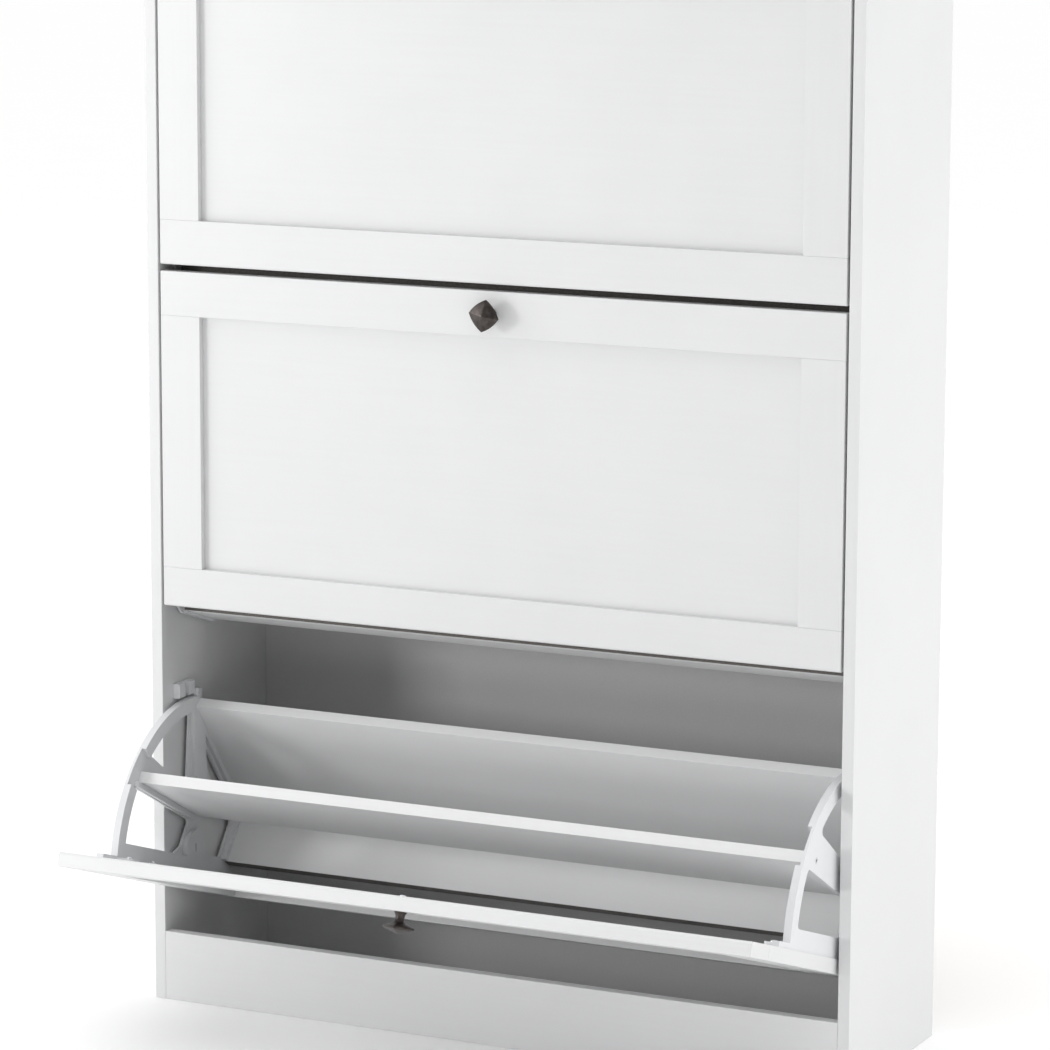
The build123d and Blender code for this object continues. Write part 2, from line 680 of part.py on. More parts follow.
def add_band(points):
    """Add one straight-sided band to the sketch being built."""
    with BuildLine() as outline:
        Polyline(*points, close=True)
    make_face(outline.line)


def rim_sector(inner, outer, low, high):
    """Add one ring sector about the pivot to the sketch being built."""
    middle = (low + high) / 2
    with BuildLine() as outline:
        Line(on_circle(inner, low), on_circle(outer, low))
        ThreePointArc(on_circle(outer, low), on_circle(outer, middle), on_circle(outer, high))
        Line(on_circle(outer, high), on_circle(inner, high))
        ThreePointArc(on_circle(inner, high), on_circle(inner, middle), on_circle(inner, low))
    make_face(outline.line)


def board_slots():
    """Private sketch of the channels that the three bin boards slide into, a hair oversize."""
    near, far = -BOARD_FIT, BOARD_THICKNESS + BOARD_FIT
    rear_span = (REAR_BOARD_SPAN[0] - BOARD_FIT, REAR_BOARD_SPAN[1] + BOARD_FIT)
    with BuildSketch(mode=Mode.PRIVATE) as boards:
        add_band(rear_strip(near, far, rear_span))
        add_band(floor_strip(near, far, (0, FLOOR_BOARD_SPAN[1] + BOARD_FIT)))
        add_band(divider_strip(near, far, (-1, DIVIDER_SPAN[1] + BOARD_FIT)))
    return boards.sketch


def make_bracket(side):
    """Moulded flip bracket on the bench, its pivot at the origin and its door face upright."""
    bench = Plane.YZ
    inner = bench.offset(side * BAND_INNER_X)
    outer = bench.offset(side * BRACKET_OUTER_X)
    with BuildPart() as bracket:
        with BuildSketch(bench.offset(side * WEB_INNER_X)):
            web_outline()
            cut_window([(60, 30)], 6.0, arc_angles=(19.1, 54.5))
            base_edge = BASE_BACK + WINDOW_LEDGE
            cut_window([(base_edge, 37), (-2, 24.5), (27.5, 14.5)], 5.0, arc_angles=(70.6, 93.8))
            cut_window([(-5, -31), (31, -8), (38, -11), (38, -79), (-5, -64.5)], 4.0)
            cut_window([(54, -14), (113, 10.5), (57, -74)], 3.0)
        extrude(amount=side * WEB_THICKNESS)

        with BuildSketch(bench.offset(side * WEB_INNER_X)):
            rim_sector(RIM_INNER_RADIUS, RIM_RADIUS, RIM_START_ANGLE, RIM_GAP_ANGLES[0])
            into_heel = RIM_END_ANGLE + RIM_OVERLAP_ANGLE
            rim_sector(RIM_INNER_RADIUS, RIM_RADIUS, RIM_GAP_ANGLES[1], into_heel)
            add_band(rectangle(DOOR_BACK, BASE_BACK, -58.0, RIM_INNER_RADIUS + 2))
            add_band(rectangle(DOOR_BACK, HEEL_BACK, 0, HEEL_TOP))
            Circle(HUB_RADIUS)
            add_band(strip(CHORD_POINT, CHORD_ANGLE, CHORD_SPAN, 0, CHORD_WIDTH))
            back_near, back_far = BOARD_THICKNESS + BOARD_FIT, BOARD_THICKNESS + BACK_RIB
            add_band(rear_strip(-FRONT_RIB, 0, (4.0, REAR_BOARD_SPAN[1] + 2)))
            add_band(rear_strip(back_near, back_far))
            add_band(floor_strip(-FRONT_RIB, 0, (4.0, FLOOR_BOARD_SPAN[1])))
            add_band(floor_strip(back_near, back_far))
            add_band(divider_strip(-FRONT_RIB, 0, (4.0, DIVIDER_SPAN[1] + 6)))
            add_band(divider_strip(back_near, back_far, (100.0, 116.0)))
            add(board_slots(), mode=Mode.SUBTRACT)
        extrude(amount=-side * (BAND_THICKNESS - WEB_THICKNESS))

        hook_end = RIM_START_ANGLE + HOOK_ANGLE
        with BuildSketch(inner):
            rim_sector(RIM_RADIUS - 1, RIM_RADIUS + HOOK_HEIGHT, RIM_START_ANGLE, hook_end)
        extrude(amount=side * BAND_THICKNESS)

        with BuildSketch(facing_plane(bench, DOOR_BACK + LUG_THICKNESS)):
            for height in LUG_HEIGHTS:
                with Locations((side * (BAND_INNER_X + LUG_ROOT / 2 - LUG_LENGTH / 2), height)):
                    RectangleRounded(LUG_LENGTH + LUG_ROOT, LUG_WIDTH, 5.0)
        extrude(amount=LUG_THICKNESS)
        drill(turned(lug_planes(bench)), SCREW_RADIUS + LUG_HOLE_FIT, LUG_THICKNESS)

        for point in BOARD_SCREWS:
            sink = Plane(outer.from_local_coords(Vector(*point, 0)), z_dir=(-side, 0, 0))
            with BuildSketch(sink):
                Circle(SCREW_HEAD_RADIUS + PILOT_FIT)
            with BuildSketch(sink.offset(SCREW_HEAD_HEIGHT + PILOT_FIT)):
                Circle(SCREW_RADIUS + PILOT_FIT)
            loft(mode=Mode.SUBTRACT)
            drill([sink], SCREW_RADIUS + PILOT_FIT, WEB_THICKNESS)

        with BuildSketch(outer):
            Circle(BOSS_RADIUS)
        extrude(amount=side * BOSS_HEIGHT)
        with BuildSketch(outer):
            Circle(PIN_RADIUS)
        extrude(amount=side * (BOSS_HEIGHT + BUSH_DEPTH))
        with BuildSketch(inner):
            Rectangle(HINGE_SLOT_LENGTH, HINGE_SLOT_WIDTH, rotation=HINGE_SLOT_ANGLE)
        extrude(amount=side * (BAND_THICKNESS + 1), mode=Mode.SUBTRACT)
    return bracket.part


# ---------------------------------------------------------------- bin boards and hardware


def make_bin_board(flap, corners, screws):
    """Board that spans the cabinet between the two brackets, with pilot holes in its ends."""
    plane = flap_plane(flap)
    with BuildPart() as board:
        extrude_outline(plane.offset(-WEB_INNER_X), corners, 2 * WEB_INNER_X)
        for side in SIDES.values():
            for point in screws:
                mouth = plane.offset(side * WEB_INNER_X).from_local_coords(Vector(*point, 0))
                drill([Plane(mouth, z_dir=(-side, 0, 0))], SCREW_RADIUS + PILOT_FIT, BOARD_SCREW_LENGTH)
    return board


def board_screw_planes(flap):
    """Planes on the brackets' outer faces at the board screws, normal out of the flap."""
    planes = []
    for side in SIDES.values():
        outer = flap_plane(flap).offset(side * BRACKET_OUTER_X)
        for point in BOARD_SCREWS:
            planes.append(Plane(outer.from_local_coords(Vector(*point, 0)), z_dir=(side, 0, 0)))
    return planes


BRACKETS = {name: make_bracket(side) for name, side in SIDES.items()}
BOARDS = {
    "bin_back": (rear_strip(0, BOARD_THICKNESS), REAR_SCREWS),
    "bin_floor": (floor_strip(0, BOARD_THICKNESS), FLOOR_SCREWS),
    "bin_divider": (divider_strip(0, BOARD_THICKNESS), DIVIDER_SCREWS),
}

for flap in FLAPS:
    hinge = flap_plane(flap)
    on_hinge = Location(hinge) * Location(Plane.YZ).inverse()
    save(make_rail(flap, is_top=True), f"{flap}_door_top_rail")
    save(make_rail(flap, is_top=False), f"{flap}_door_bottom_rail")
    for name, side in SIDES.items():
        save(make_stile(flap, side), f"{flap}_door_{name}_stile")
        save(placed(BRACKETS[name], [on_hinge]), f"{flap}_{name}_bracket")
    save(make_panel(flap), f"{flap}_door_panel")
    save(make_knob(flap), f"{flap}_knob")
    for board, (corners, screws) in BOARDS.items():
        save(make_bin_board(flap, corners, screws), f"{flap}_{board}")
    save(placed(BOARD_SCREW, board_screw_planes(flap)), f"{flap}_board_screws")
    save(placed(PAN_SCREW, lug_planes(hinge)), f"{flap}_bracket_screws")
    knob_back = knob_plane(flap).offset(-DOOR_THICKNESS)
    save(placed(KNOB_SCREW, turned([knob_back])), f"{flap}_knob_screw")
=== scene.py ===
# %% [markdown]
# # Finishing a tip-out shoe cabinet
#
# The cabinet is a tall, shallow carcass of white boards with three framed doors. Each door tips
# out at the top on two moulded brackets and carries a bin for shoes. The CAD model already has
# every board, bracket, screw and hinge at its real size, so this lesson is about what CAD leaves
# out: soft edges, finishes, the cast knobs, the light and the camera.
#
# We load the CAD model first.

import json
from math import cos, pi, radians, sin, sqrt

import bmesh
import bpy
from mathutils import Matrix, Vector


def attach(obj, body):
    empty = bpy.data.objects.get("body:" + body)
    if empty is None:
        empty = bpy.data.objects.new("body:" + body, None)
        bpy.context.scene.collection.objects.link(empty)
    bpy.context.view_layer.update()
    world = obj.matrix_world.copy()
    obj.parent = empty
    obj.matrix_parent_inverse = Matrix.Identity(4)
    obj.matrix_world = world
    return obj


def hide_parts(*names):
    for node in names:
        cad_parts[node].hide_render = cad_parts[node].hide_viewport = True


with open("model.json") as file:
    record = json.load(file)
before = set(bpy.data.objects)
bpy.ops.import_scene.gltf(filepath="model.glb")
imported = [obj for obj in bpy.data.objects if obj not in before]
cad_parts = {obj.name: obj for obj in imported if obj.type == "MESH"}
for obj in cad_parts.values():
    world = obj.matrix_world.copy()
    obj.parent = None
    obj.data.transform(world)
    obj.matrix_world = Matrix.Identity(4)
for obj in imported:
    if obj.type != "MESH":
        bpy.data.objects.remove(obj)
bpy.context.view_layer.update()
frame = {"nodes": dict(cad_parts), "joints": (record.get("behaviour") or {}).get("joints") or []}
nodes = frame["nodes"]
MM = 0.001

# %% [markdown]
# ## The camera
#
# A product view like this is taken with a long lens from well back, a little above the cabinet's
# top and round to its right. A short lens close by would make the open flap look huge. The camera
# could be aimed at a target by a constraint, but its place and three angles say the same with
# nothing extra in the scene.

# %% Camera
LENS = 150.4
CAMERA_PLACE = (1.936, -3.950, 1.332)
LOOK_DOWN = radians(10.1)
TURN_LEFT = radians(25.72)
ROLL = radians(-0.2)
camera_data = bpy.data.cameras.new("camera")
camera_data.lens = LENS
camera = bpy.data.objects.new("camera", camera_data)
camera.location = CAMERA_PLACE
camera.rotation_euler = (pi / 2 - LOOK_DOWN, ROLL, TURN_LEFT)
bpy.context.scene.collection.objects.link(camera)
bpy.context.scene.camera = camera

# %% [markdown]
# ## Helpers for finishes
#
# Every finish here is built from nodes: noise that is read from the piece's own place, drawn out
# in one direction where the surface has a grain, then used for a small change of tone, of
# roughness and of height. The same few nodes could be wired up again in every material, but a
# helper for each job keeps the recipes short and lets us read them as sentences.

# %% Finish helpers


def same(value):
    """One number three times: a grey, or noise that is alike in every direction."""
    return (value, value, value)


def shade(tone, share):
    """A tone made darker or paler, with all its channels alike."""
    return tuple(channel * share for channel in tone)


def new_finish(name):
    """A new procedural material, its node tree and its main shader."""
    material = bpy.data.materials.new(name)
    material.use_nodes = True
    tree = material.node_tree
    return material, tree, tree.nodes["Principled BSDF"]


def speckle(tree, stretch, detail=4.0, roughness=0.55):
    """Noise read from the piece's own place, with a number of features per metre each way."""
    place = tree.nodes.new("ShaderNodeTexCoord")
    mapping = tree.nodes.new("ShaderNodeMapping")
    mapping.inputs["Scale"].default_value = stretch
    noise = tree.nodes.new("ShaderNodeTexNoise")
    noise.inputs["Scale"].default_value = 1.0
    noise.inputs["Detail"].default_value = detail
    noise.inputs["Roughness"].default_value = roughness
    tree.links.new(place.outputs["Object"], mapping.inputs["Vector"])
    tree.links.new(mapping.outputs["Vector"], noise.inputs["Vector"])
    return noise.outputs["Fac"]


def between(tree, amount, low=0.0, high=1.0, start=0.35, end=0.65):
    """A number that runs from low to high while the amount runs from start to end."""
    spread = tree.nodes.new("ShaderNodeMapRange")
    spread.inputs["From Min"].default_value = start
    spread.inputs["From Max"].default_value = end
    spread.inputs["To Min"].default_value = low
    spread.inputs["To Max"].default_value = high
    tree.links.new(amount, spread.inputs["Value"])
    return spread.outputs["Result"]


def blend_tones(tree, amount, first, second):
    """A colour between two plain tones; amount is a socket from 0 to 1."""
    mix = tree.nodes.new("ShaderNodeMix")
    mix.data_type = "RGBA"
    mix.inputs["A"].default_value = (*first, 1)
    mix.inputs["B"].default_value = (*second, 1)
    tree.links.new(amount, mix.inputs["Factor"])
    return mix.outputs["Result"]


def blend_colours(tree, amount, first, second):
    """A colour between two that other nodes make; all three are sockets."""
    mix = tree.nodes.new("ShaderNodeMix")
    mix.data_type = "RGBA"
    tree.links.new(amount, mix.inputs["Factor"])
    tree.links.new(first, mix.inputs["A"])
    tree.links.new(second, mix.inputs["B"])
    return mix.outputs["Result"]


def raise_surface(tree, shader, height, depth, strength=1.0):
    """Bump of a depth in metres, whose strength can be turned down."""
    bump = tree.nodes.new("ShaderNodeBump")
    bump.inputs["Strength"].default_value = strength
    bump.inputs["Distance"].default_value = depth
    tree.links.new(height, bump.inputs["Height"])
    tree.links.new(bump.outputs["Normal"], shader.inputs["Normal"])


print("helpers for tone, roughness and height are ready")

# %% [markdown]
# ## White boards
#
# The carcass, the bins and the doors are white-faced boards. The facing is pressed against a
# steel plate with a very fine grain, so it isn't flat white: the tone drifts by about one per
# cent in long streaks along the board, and by a little more in broad clouds, and the gloss breaks
# up with the streaks. A picture of such a facing would repeat and show seams. Noise doesn't, and
# it can be drawn out along the board: upright boards have upright streaks and the others run
# across, so one recipe takes the direction as an argument. The bins are a slightly paler white
# than the carcass, and the doors are a little glossier.

# %% White board finishes
ACROSS = (6.0, 260.0, 260.0)
UPRIGHT = (260.0, 260.0, 6.0)
WHITE = (0.705, 0.708, 0.712)
BIN_WHITE = (0.775, 0.778, 0.782)
DEEP_STREAK = 0.992
PALE_STREAK = 1.003
CLOUD_SHADE = 0.985
BOARD_ROUGHNESS = 0.42
DOOR_ROUGHNESS = 0.36


def white_board(name, stretch, tone, roughness=BOARD_ROUGHNESS):
    """Pressed white facing, with a fine grain along the board."""
    material, tree, shader = new_finish(name)
    grain = speckle(tree, stretch)
    clouds = speckle(tree, same(9.0), detail=2.0)
    deep, pale = shade(tone, DEEP_STREAK), shade(tone, PALE_STREAK)
    streaked = blend_tones(tree, between(tree, grain), deep, pale)
    clouded = blend_tones(tree, between(tree, clouds), same(CLOUD_SHADE), same(1.0))
    drift = tree.nodes.new("ShaderNodeMix")
    drift.data_type = "RGBA"
    drift.blend_type = "MULTIPLY"
    drift.inputs["Factor"].default_value = 1.0
    tree.links.new(streaked, drift.inputs["A"])
    tree.links.new(clouded, drift.inputs["B"])
    tree.links.new(drift.outputs["Result"], shader.inputs["Base Color"])
    uneven = between(tree, grain, roughness - 0.05, roughness + 0.07)
    tree.links.new(uneven, shader.inputs["Roughness"])
    shader.inputs["Specular IOR Level"].default_value = 0.45
    raise_surface(tree, shader, grain, 0.02 * MM, strength=0.06)
    return material


board_across = white_board("board_across", ACROSS, WHITE)
bin_board = white_board("bin_board", ACROSS, BIN_WHITE)
board_upright = white_board("board_upright", UPRIGHT, WHITE)
door_across = white_board("door_across", ACROSS, WHITE, roughness=DOOR_ROUGHNESS)
door_upright = white_board("door_upright", UPRIGHT, WHITE, roughness=DOOR_ROUGHNESS)
for board in (board_across, bin_board, board_upright, door_across, door_upright):
    print("white board:", board.name)

# %% [markdown]
# ## Which way each flap faces
#
# The lowest flap is modelled tipped open and the other two are shut. We could measure that on the
# doors, but each hinge already says so: a joint whose range starts below zero still has that far
# to go before it is shut. From that tilt come three directions that the bins and the knobs need:
# across the door, up it, and out of it.

# %% Directions of each flap
FLAPS = ("lower", "middle", "upper")
FLAP_JOINTS = {joint["child"]: joint for joint in frame["joints"]}


def flap_directions(flap):
    """Unit vectors across, up and out of one flap's door, as it rests."""
    tilt = -radians(FLAP_JOINTS[f"{flap}_flap"]["range_deg"][0])
    up = Vector((0, -sin(tilt), cos(tilt)))
    out = Vector((0, -cos(tilt), -sin(tilt)))
    return Vector((1, 0, 0)), up, out


for flap in FLAPS:
    print(flap, "faces", [round(v, 3) for v in flap_directions(flap)[2]])

# %% [markdown]
# ## Bin floors, dark underneath as painted shade
#
# A bin's floor is faced white inside, where the shoes stand. Its underside is only seen in the
# narrow slot behind the door, and it is given a near-black grey-brown as painted shade, for the
# deep shade in that slot. A second thin piece could carry that tone. It is simpler to let one
# material ask which way the
# surface faces, and because this board swings, it asks in the board's own terms and not the
# room's. Each flap lies its own way, so each floor has its own copy of the material.

# %% Bin floor finishes
UNDERSIDE_TILT = radians(18.8)
# Painted shade: a near-black mottled grey-brown on the undersides, for the shade in the slot
# behind each door.
UNDERSIDE_SHADE_DEEP = (0.115, 0.105, 0.098)
UNDERSIDE_SHADE_PALE = (0.175, 0.162, 0.150)
UNDERSIDE_MOTTLE = (350.0, 700.0, 700.0)


def bin_floor_board(flap):
    """White board whose underside is painted dark as shade."""
    material = white_board(f"{flap}_bin_floor_board", ACROSS, BIN_WHITE)
    tree = material.node_tree
    shader = tree.nodes["Principled BSDF"]
    white = shader.inputs["Base Color"].links[0].from_socket
    _, up, out = flap_directions(flap)
    facing = tree.nodes.new("ShaderNodeTexCoord")
    towards = tree.nodes.new("ShaderNodeVectorMath")
    towards.operation = "DOT_PRODUCT"
    towards.inputs[1].default_value = out * cos(UNDERSIDE_TILT) + up * sin(UNDERSIDE_TILT)
    tree.links.new(facing.outputs["Normal"], towards.inputs[0])
    is_under = between(tree, towards.outputs["Value"], start=0.8, end=0.9)
    shade_mottle = speckle(tree, UNDERSIDE_MOTTLE, detail=5.0)
    painted_shade = blend_tones(tree, between(tree, shade_mottle), UNDERSIDE_SHADE_DEEP, UNDERSIDE_SHADE_PALE)
    tree.links.new(blend_colours(tree, is_under, white, painted_shade), shader.inputs["Base Color"])
    return material


bin_floor_boards = {f"{flap}_bin_floor": bin_floor_board(flap) for flap in FLAPS}
print("bin floors:", sorted(bin_floor_boards))

# %% [markdown]
# ## Hardboard back
#
# The back panel is thin hardboard. Its inside is a grey darker than the other boards' white,
# as painted shade for the deep, dim inside of the cabinet, and its rear is left bare: brown
# pressed fibre with a fine mottle. Again one material is both, by the way the
# surface faces. This panel never moves, so the room's own front and back will do. That is the
# surface's direction and not the view's, so it doesn't change when the camera moves.

# %% Hardboard finish
# Painted shade: the inside's grey is darker than the boards' white, to stand in for the cabinet's
# dim depth.
BACK_SHADE_DEEP = same(0.61)
BACK_SHADE_PALE = same(0.65)
FIBRE_DARK = (0.20, 0.115, 0.06)
FIBRE_PALE = (0.36, 0.23, 0.13)


def hardboard():
    """Grey inside, darkened as painted shade, and unpainted brown fibre at the rear."""
    material, tree, shader = new_finish("hardboard")
    fibre = speckle(tree, same(900.0), detail=6.0)
    white = blend_tones(tree, between(tree, fibre), BACK_SHADE_DEEP, BACK_SHADE_PALE)
    brown = blend_tones(tree, between(tree, fibre), FIBRE_DARK, FIBRE_PALE)
    facing = tree.nodes.new("ShaderNodeNewGeometry")
    parts = tree.nodes.new("ShaderNodeSeparateXYZ")
    tree.links.new(facing.outputs["Normal"], parts.inputs["Vector"])
    is_rear = between(tree, parts.outputs["Y"], start=0.4, end=0.6)
    tree.links.new(blend_colours(tree, is_rear, white, brown), shader.inputs["Base Color"])
    tree.links.new(between(tree, fibre, 0.45, 0.6), shader.inputs["Roughness"])
    raise_surface(tree, shader, fibre, 0.08 * MM, strength=0.4)
    return material


back_finish = hardboard()
print("back:", back_finish.name)

# %% [markdown]
# ## Moulded plastic
#
# The brackets, stops and bushes are white moulded plastic. Plastic from a mould has a faint
# spark-eroded texture, much finer than a board's grain and the same in all directions, and light
# goes a little way into it. It could share the boards' recipe, but then it would look like
# painted wood. Here the texture has no direction, and a trace of subsurface scattering keeps its
# shadows softer than the boards' shadows.

# %% Plastic finish
BRACKET_WHITE = (0.70, 0.71, 0.72)
BUSH_WHITE = (0.74, 0.75, 0.76)
LIGHT_REACH = same(2 * MM)


def moulded_plastic(name, tone):
    """Satin plastic with a fine mould texture and slow flow marks."""
    material, tree, shader = new_finish(name)
    texture = speckle(tree, same(1500.0), detail=2.0)
    flow = speckle(tree, same(25.0), detail=3.0)
    colour = blend_tones(tree, between(tree, flow), shade(tone, 0.975), tone)
    tree.links.new(colour, shader.inputs["Base Color"])
    tree.links.new(between(tree, flow, 0.30, 0.40), shader.inputs["Roughness"])
    shader.inputs["Subsurface Weight"].default_value = 0.06
    shader.inputs["Subsurface Radius"].default_value = LIGHT_REACH
    raise_surface(tree, shader, texture, 0.02 * MM, strength=0.3)
    return material


bracket_finish = moulded_plastic("bracket_plastic", BRACKET_WHITE)
bush_finish = moulded_plastic("bush_plastic", BUSH_WHITE)
print("plastics:", bracket_finish.name, bush_finish.name)

# %% [markdown]
# ## Metal and wood of the fittings
#
# The screws are zinc-plated steel, bright and slightly mottled. The cams are die-cast zinc,
# duller and coarser. Both are bare metals, so one recipe makes them from two tones, a roughness
# and a scale. The dowels are beech with a grain. Most of these pieces are hidden while the
# cabinet is together, but a flap that swings out, or a view from behind, shows their ends.

# %% Fittings finishes
PLATE_TONES = ((0.52, 0.53, 0.55), (0.72, 0.73, 0.75))
CAST_TONES = ((0.36, 0.37, 0.39), (0.55, 0.56, 0.58))
BEECH_TONES = ((0.46, 0.30, 0.16), (0.66, 0.47, 0.28))
BEECH_GRAIN = (120.0, 900.0, 900.0)


def bare_metal(name, tones, roughness, features_per_metre):
    """Unpainted metal whose tone and gloss wander together."""
    material, tree, shader = new_finish(name)
    mottle = speckle(tree, same(features_per_metre), detail=5.0)
    colour = blend_tones(tree, between(tree, mottle), *tones)
    tree.links.new(colour, shader.inputs["Base Color"])
    uneven = between(tree, mottle, roughness - 0.08, roughness + 0.1)
    tree.links.new(uneven, shader.inputs["Roughness"])
    shader.inputs["Metallic"].default_value = 1.0
    raise_surface(tree, shader, mottle, 0.02 * MM, strength=0.4)
    return material


def beech():
    """Turned beech, with its grain along the dowels that run across."""
    material, tree, shader = new_finish("beech")
    grain = speckle(tree, BEECH_GRAIN, detail=5.0)
    colour = blend_tones(tree, between(tree, grain), *BEECH_TONES)
    tree.links.new(colour, shader.inputs["Base Color"])
    tree.links.new(between(tree, grain, 0.55, 0.7), shader.inputs["Roughness"])
    raise_surface(tree, shader, grain, 0.05 * MM)
    return material


screw_finish = bare_metal("zinc_plate", PLATE_TONES, roughness=0.30, features_per_metre=600.0)
cam_finish = bare_metal("cast_zinc", CAST_TONES, roughness=0.45, features_per_metre=350.0)
dowel_finish = beech()
print("fittings:", screw_finish.name, cam_finish.name, dowel_finish.name)

# %% [markdown]
# ## Dark bronze of the knobs
#
# The knobs are cast, plated dark bronze and lightly rubbed, so their faces are brown-black with a
# satin shine, and the tone wanders from near black to a warm grey-brown. Black paint with a gloss
# would be quicker, but every facet would then look alike. A metal with a dark base colour lets
# each facet of the pyramid pick up a different grey from the room.

# %% Bronze finish
BRONZE_DEEP = (0.042, 0.035, 0.033)
BRONZE_RUBBED = (0.088, 0.077, 0.072)


def dark_bronze():
    """Plated and rubbed bronze, with a fine cast grit."""
    material, tree, shader = new_finish("dark_bronze")
    rubbed = speckle(tree, same(160.0), detail=6.0, roughness=0.65)
    grit = speckle(tree, same(1400.0), detail=3.0)
    colour = blend_tones(tree, between(tree, rubbed), BRONZE_DEEP, BRONZE_RUBBED)
    tree.links.new(colour, shader.inputs["Base Color"])
    tree.links.new(between(tree, rubbed, 0.28, 0.40), shader.inputs["Roughness"])
    shader.inputs["Metallic"].default_value = 0.9
    raise_surface(tree, shader, grit, 0.03 * MM, strength=0.3)
    return material


bronze = dark_bronze()
print("knobs:", bronze.name)

# %% [markdown]
# ## Giving each piece its finish
#
# The CAD pieces keep their shapes, and we only put the right finish in each one's material slot.
# It could be chosen piece by piece, but the pieces are named for what they are, so a few whole
# names and a few endings cover them all. What is left is a door's rail or panel, or a carcass
# board that lies across.

# %% Finish every CAD piece
FINISH_BY_NAME = {
    "left_side_panel": board_upright,
    "right_side_panel": board_upright,
    "back_panel": back_finish,
    "stop_blocks": bracket_finish,
    "pivot_bushes": bush_finish,
    "cam_bolts": cam_finish,
    "cam_locks": cam_finish,
    "joint_dowels": dowel_finish,
    **bin_floor_boards,
}
FINISH_BY_ENDING = {
    "_screw": screw_finish,
    "_screws": screw_finish,
    "_bracket": bracket_finish,
    "_knob": bronze,
    "_stile": door_upright,
    "_bin_back": bin_board,
    "_bin_divider": bin_board,
}


def finish_for(name):
    """The finish that a piece has on the real cabinet."""
    if name in FINISH_BY_NAME:
        return FINISH_BY_NAME[name]
    for ending, finish in FINISH_BY_ENDING.items():
        if name.endswith(ending):
            return finish
    return door_across if "_door_" in name else board_across


for name, piece in nodes.items():
    for material_slot in piece.material_slots:
        material_slot.material = finish_for(name)
print("finishes in use:", sorted({finish_for(name).name for name in nodes}))

# %% [markdown]
# ## Soft edges
#
# No real board has a perfectly sharp corner. An edge strip is eased with a scraper, and a
# moulding has a small radius, and it is this narrow round that catches the light and draws each
# board's outline. It also opens the hairline joints between rails and stiles into fine V-grooves.
#
# Rounds could be modelled in CAD, but ones this small only matter to the eye. Modifiers leave the
# CAD mesh alone: one joins the triangles' split corners, one rounds the sharp edges inwards, and
# one keeps the big faces flat. The doors' long triangles are merged into whole faces as well, or
# the shading shows them. The back panel and the rail with the wall screws stay as sawn. The
# brackets stay as moulded, because a bevel spoils the faces round their windows and screw holes.

# %% Ease the edges
WELD_DISTANCE = 0.005 * MM
FLAT_WITHIN = radians(0.5)
SHARP_ABOVE = radians(35)
ROUNDING_STEPS = 2
BIG_FACE_WEIGHT = 90
BOARD_EASING = 0.6 * MM
STILE_EASING = 0.45 * MM
MOULDING_EASING = 0.5 * MM
BOARD_ENDINGS = ("_board", "_panel", "_rail", "_bin_back", "_bin_floor", "_bin_divider")
LEFT_AS_SAWN = ("back_panel", "top_rear_rail")


def easing_of(name):
    """The radius along a piece's edges, or 0 where they stay as they are."""
    if name in LEFT_AS_SAWN:
        return 0
    if name.endswith(BOARD_ENDINGS):
        return BOARD_EASING
    if name.endswith("_stile"):
        return STILE_EASING
    return MOULDING_EASING if name == "stop_blocks" else 0


def ease_edges(piece, radius):
    """Round a piece's sharp edges by a small radius, inwards, with modifiers."""
    weld = piece.modifiers.new("weld", "WELD")
    weld.merge_threshold = WELD_DISTANCE
    if "_door_" in piece.name:
        whole = piece.modifiers.new("whole_faces", "DECIMATE")
        whole.decimate_type = "DISSOLVE"
        whole.angle_limit = FLAT_WITHIN
    rounding = piece.modifiers.new("eased_edges", "BEVEL")
    rounding.width = radius
    rounding.segments = ROUNDING_STEPS
    rounding.limit_method = "ANGLE"
    rounding.angle_limit = SHARP_ABOVE
    rounding.use_clamp_overlap = False
    flat = piece.modifiers.new("flat_faces", "WEIGHTED_NORMAL")
    flat.keep_sharp = False
    flat.weight = BIG_FACE_WEIGHT


eased = [name for name in nodes if easing_of(name)]
for name in eased:
    ease_edges(nodes[name], easing_of(name))
print(len(eased), "pieces eased")

# %% [markdown]
# ## Knobs
#
# Each knob is one casting: a round stem that flares at both ends, under a four-sided pyramid set
# as a diamond with softly bowed sides. CAD has it as a short stack of lofted outlines, which
# leaves hard steps between them, and a subdivision surface would melt the pyramid's ridges. So we
# make it again as rings of points that follow one profile, where each ring's outline changes from
# a circle at the stem to the bowed square of the head. The ridges above the rim are marked sharp,
# so they catch the light as crisp lines up to the blunt tip.

# %% Knob shape
RING_POINTS = 96
CORNERS = 4
SIDE_BOW = 0.80  # middle of a side to the centre, as a share of corner to centre
ARC_CENTRE = (1 - SIDE_BOW**2) / (sqrt(2) - 2 * SIDE_BOW)
ARC_RADIUS = SIDE_BOW - ARC_CENTRE

# height above the door and radius at the corners, both in mm, and how square the ring is
KNOB_PROFILE = [
    (0.0, 6.6, 0.0), (0.6, 6.5, 0.0), (1.3, 6.0, 0.0), (2.4, 5.3, 0.0), (4.2, 4.7, 0.0),
    (6.8, 4.5, 0.0), (9.0, 4.8, 0.0), (10.6, 5.8, 0.05), (11.7, 7.6, 0.2), (12.7, 10.4, 0.5),
    (13.7, 13.5, 0.75), (14.6, 15.8, 0.85), (15.2, 16.7, 0.88), (15.8, 17.0, 0.9),
    (16.4, 16.9, 0.9), (16.9, 16.2, 0.92), (17.7, 14.2, 0.95), (18.7, 11.3, 0.95),
    (19.7, 8.2, 0.95), (20.6, 5.2, 0.9), (21.3, 2.8, 0.8), (21.7, 1.3, 0.5),
]
APEX_HEIGHT = 21.9
corner_radii = [radius for _, radius, _ in KNOB_PROFILE]
RIM_RING = corner_radii.index(max(corner_radii)) + 1


